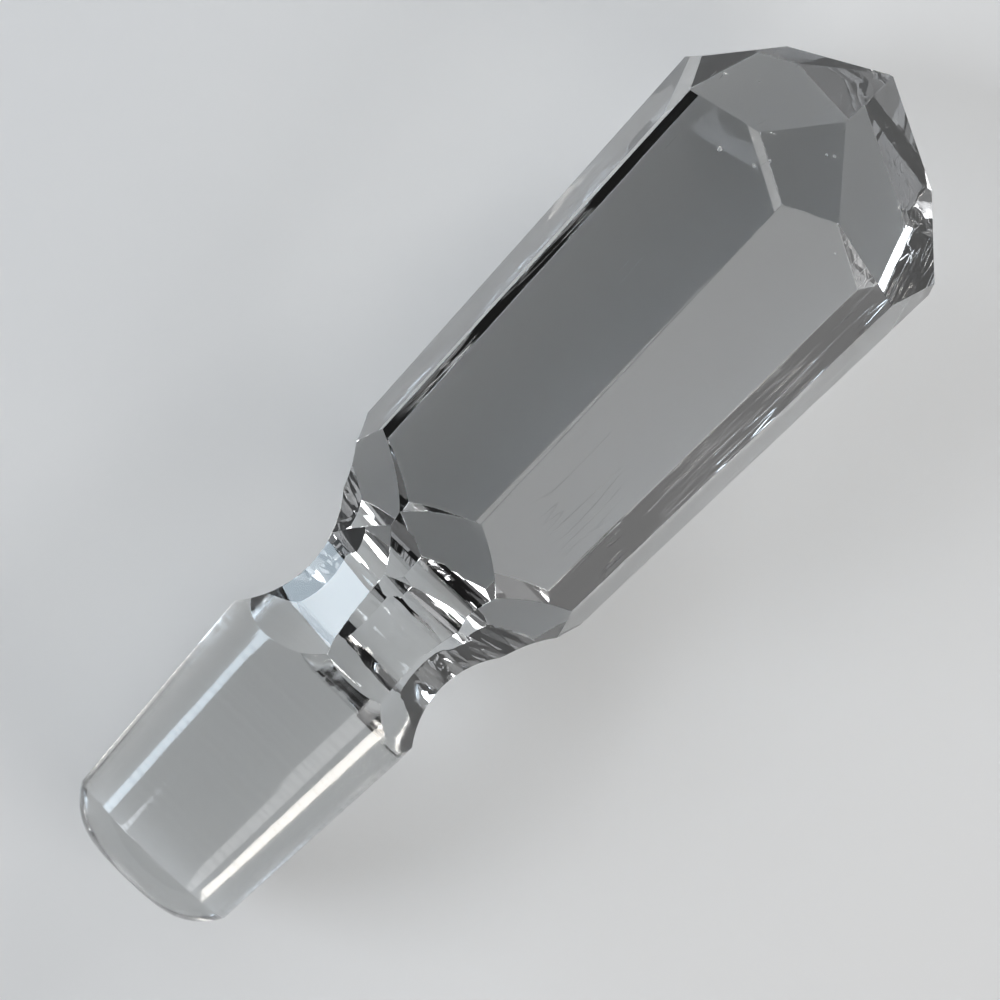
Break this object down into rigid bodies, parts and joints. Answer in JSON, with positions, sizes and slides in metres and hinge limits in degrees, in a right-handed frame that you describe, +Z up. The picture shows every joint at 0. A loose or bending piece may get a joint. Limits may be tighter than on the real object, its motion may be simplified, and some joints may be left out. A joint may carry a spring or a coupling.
{
  "type": "decanter stopper",
  "caption": "Solid cut-glass decanter stopper: ground tapered plug, fluted neck, faceted handle that widens upwards, and a faceted crown. It lies on a panel of the handle.",
  "frame": {"origin": "on the face of the handle panel that the stopper rests on, straight below the middle of the handle", "axes": "+X along the length of the resting panel, from the plug towards the crown; +Z up, out of the resting panel towards the opposite side of the handle; +Y to the left when looking from the plug to the crown"},
  "size_m": [0.1076, 0.033, 0.0319],
  "materials": {
    "glass": "polished, with a finely ground plug"
  },
  "bodies": {
    "root": {"stopper": "glass"}
  },
  "joints": []
}
